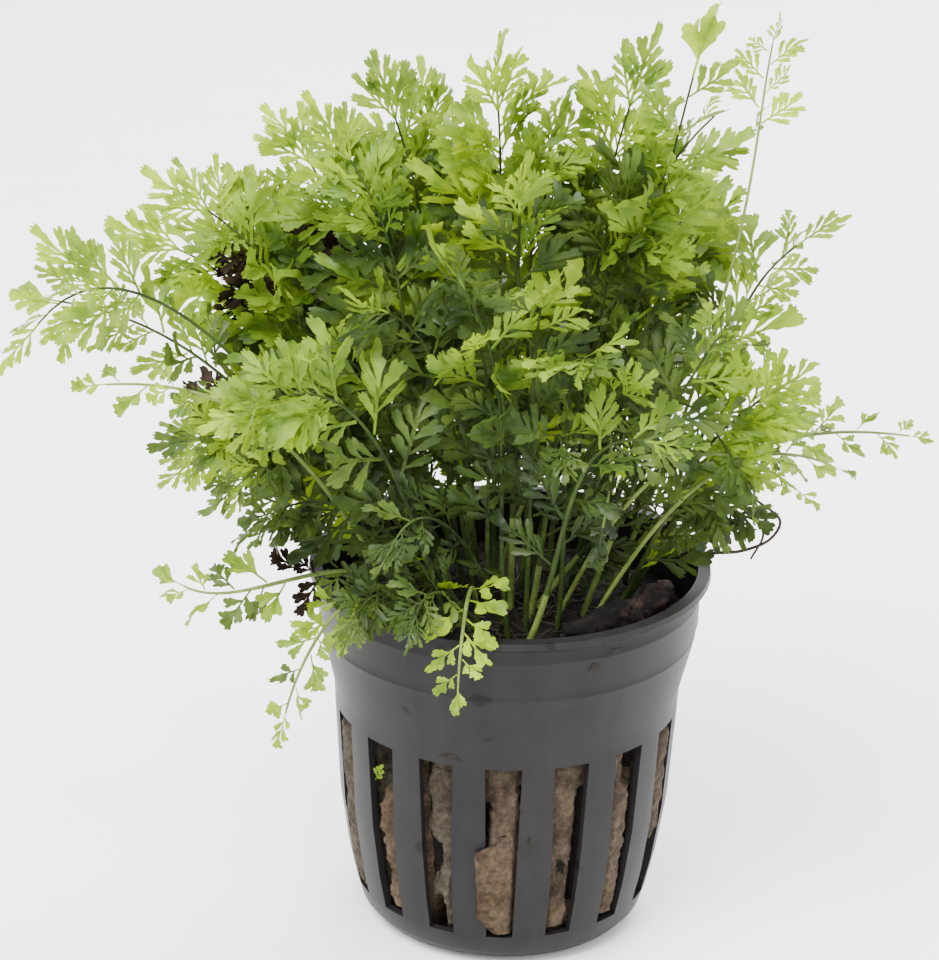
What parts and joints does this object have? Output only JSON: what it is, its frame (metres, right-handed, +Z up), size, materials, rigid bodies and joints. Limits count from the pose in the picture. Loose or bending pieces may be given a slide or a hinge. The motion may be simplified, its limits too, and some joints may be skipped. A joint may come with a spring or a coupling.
{
  "type": "potted african water fern",
  "caption": "Bushy aquatic fern with parsley-like lobed fronds, rooted in a mineral wool plug inside a slotted plastic net pot.",
  "frame": {"origin": "centre of the pot's flat base, on the surface it stands on", "axes": "+Z up along the pot's axis, -Y towards the side that the picture shows, +X to its right"},
  "size_m": [0.1158, 0.0801, 0.1223],
  "materials": {
    "pot_plastic": "satin moulded plastic",
    "mineral_wool": "matted fibres",
    "rhizome": "rough, matte",
    "root": "matte",
    "frond": "thin leaf, slightly glossy"
  },
  "bodies": {
    "root": {"net_pot": "pot_plastic", "mineral_wool": "mineral_wool", "rhizome": "rhizome", "root_loop": "root", "root_free_end": "root", "frond_01": "frond", "frond_02": "frond", "frond_03": "frond", "frond_04": "frond", "frond_05": "frond", "frond_06": "frond", "frond_07": "frond", "frond_08": "frond", "frond_09": "frond", "frond_10": "frond", "frond_11": "frond", "frond_12": "frond", "frond_13": "frond", "frond_14": "frond", "frond_15": "frond", "frond_16": "frond", "frond_17": "frond", "frond_18": "frond", "frond_19": "frond", "frond_20": "frond", "frond_21": "frond", "frond_22": "frond", "frond_23": "frond", "frond_24": "frond", "frond_25": "frond", "frond_26": "frond", "frond_27": "frond", "frond_28": "frond", "frond_29": "frond", "frond_30": "frond", "frond_31": "frond", "frond_32": "frond", "frond_33": "frond", "frond_34": "frond", "frond_35": "frond", "frond_36": "frond", "frond_37": "frond", "frond_38": "frond", "frond_39": "frond", "frond_40": "frond", "frond_41": "frond", "frond_42": "frond", "frond_43": "frond", "frond_44": "frond", "frond_45": "frond", "frond_46": "frond", "frond_47": "frond", "frond_48": "frond", "frond_49": "frond", "frond_50": "frond", "frond_51": "frond", "frond_52": "frond", "frond_53": "frond", "frond_54": "frond", "frond_55": "frond"}
  },
  "joints": []
}
